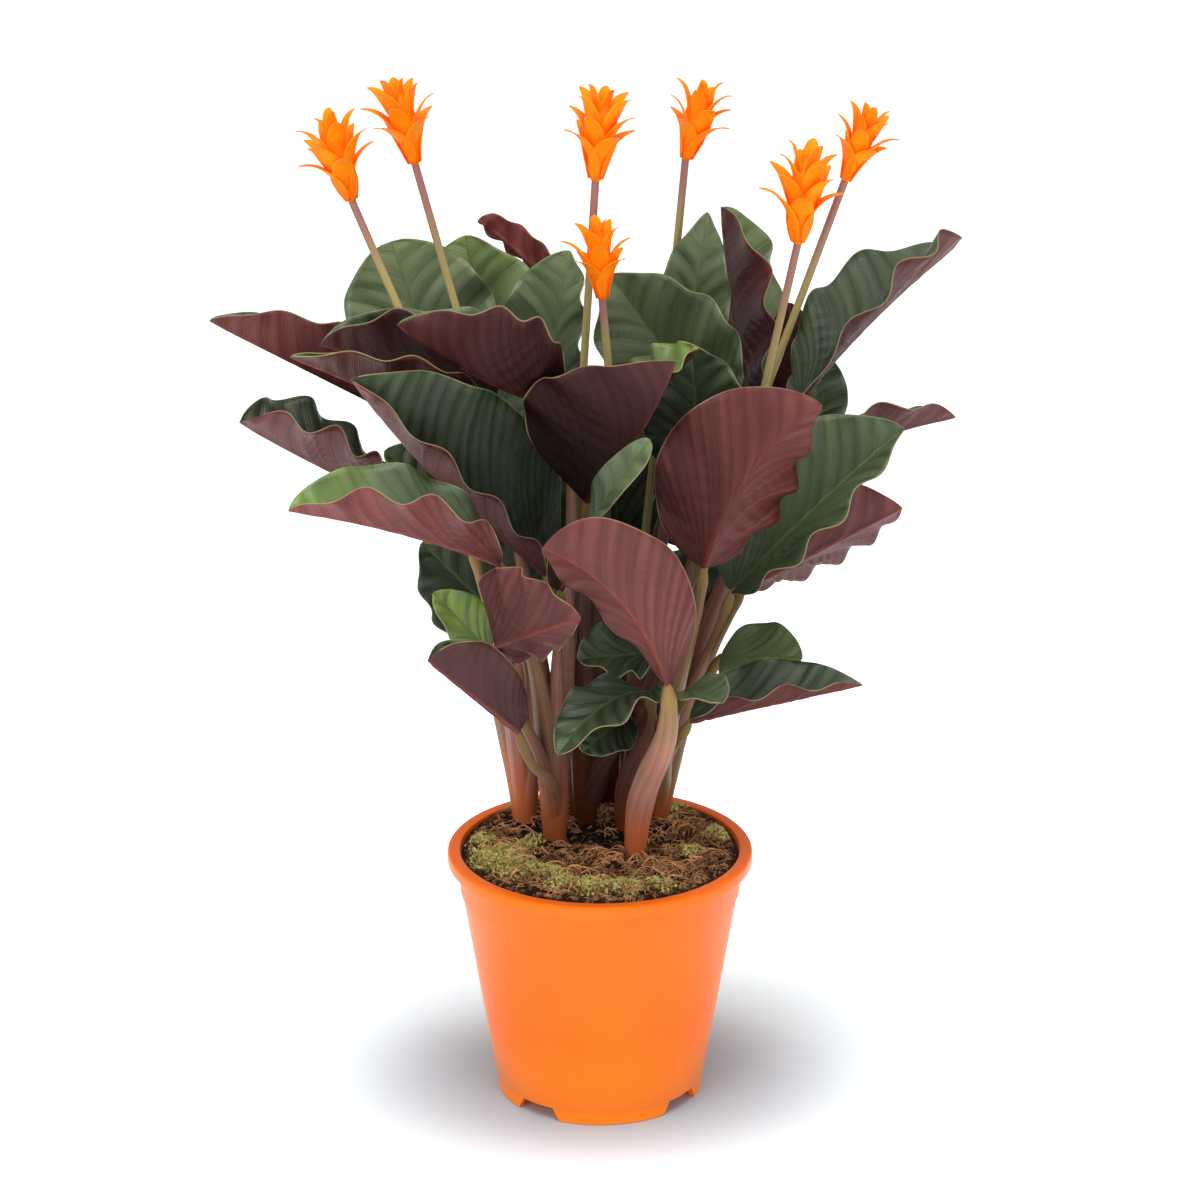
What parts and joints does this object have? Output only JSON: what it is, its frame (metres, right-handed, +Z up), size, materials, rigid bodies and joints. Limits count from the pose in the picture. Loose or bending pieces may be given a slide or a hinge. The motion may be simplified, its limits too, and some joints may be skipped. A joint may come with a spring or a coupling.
{
  "type": "potted foliage plant",
  "caption": "Eternal flame calathea with dark green and maroon wavy leaves and orange bract heads, growing in a tapered orange nursery pot.",
  "frame": {"origin": "middle of the plant's bounding box on the surface the pot stands on; the pot's own axis is the Z axis", "axes": "+Z up along the pot's axis, -Y towards the front, the side with the lowest overhanging leaf, +X to the right seen from the front"},
  "size_m": [0.3355, 0.2332, 0.4692],
  "materials": {
    "pot_plastic": "satin injection moulded polypropylene",
    "soil": "dry coir and peat with pale fibres",
    "stalk": "smooth fleshy stalk, maroon and olive",
    "leaf": "satin, green above and maroon beneath",
    "bract": "soft waxy petal-like bract"
  },
  "bodies": {
    "root": {"pot": "pot_plastic", "soil": "soil", "shoot_front": "stalk", "shoot_left": "stalk", "shoot_mid": "stalk", "shoot_c": "stalk", "shoot_cr": "stalk", "shoot_right": "stalk", "shoot_back": "stalk", "leaf_left_far": "leaf", "leaf_left_curl": "leaf", "leaf_left_dark": "leaf", "leaf_left_mid": "leaf", "leaf_back_left": "leaf", "leaf_back_left_2": "leaf", "leaf_top_maroon": "leaf", "leaf_top_centre": "leaf", "leaf_left_low": "leaf", "leaf_left_bright": "leaf", "leaf_left_inner": "leaf", "leaf_left_big": "leaf", "leaf_centre": "leaf", "leaf_centre_small": "leaf", "leaf_right_front": "leaf", "leaf_right_green": "leaf", "leaf_right_tip": "leaf", "leaf_right_low": "leaf", "leaf_right_far": "leaf", "leaf_upper_green": "leaf", "leaf_upper_fold": "leaf", "leaf_upper_back": "leaf", "leaf_centre_green": "leaf", "leaf_centre_green_2": "leaf", "leaf_centre_tip": "leaf", "leaf_right_small": "leaf", "leaf_front_low": "leaf", "leaf_front_left": "leaf", "leaf_young_left": "leaf", "leaf_low_left": "leaf", "leaf_left_under": "leaf", "leaf_low_centre": "leaf", "leaf_low_centre_2": "leaf", "leaf_low_back": "leaf", "leaf_low_mid": "leaf", "leaf_low_oval": "leaf", "leaf_low_right": "leaf", "leaf_rear_high_left": "leaf", "leaf_rear_high_right": "leaf", "leaf_rear_centre": "leaf", "leaf_rear_mid_left": "leaf", "leaf_rear_mid_right": "leaf", "leaf_rear_low_left": "leaf", "leaf_rear_low_right": "leaf", "flower_head_1": "bract", "flower_head_2": "bract", "flower_head_3": "bract", "flower_head_4": "bract", "flower_head_5": "bract", "flower_head_6": "bract", "flower_head_7": "bract"}
  },
  "joints": []
}
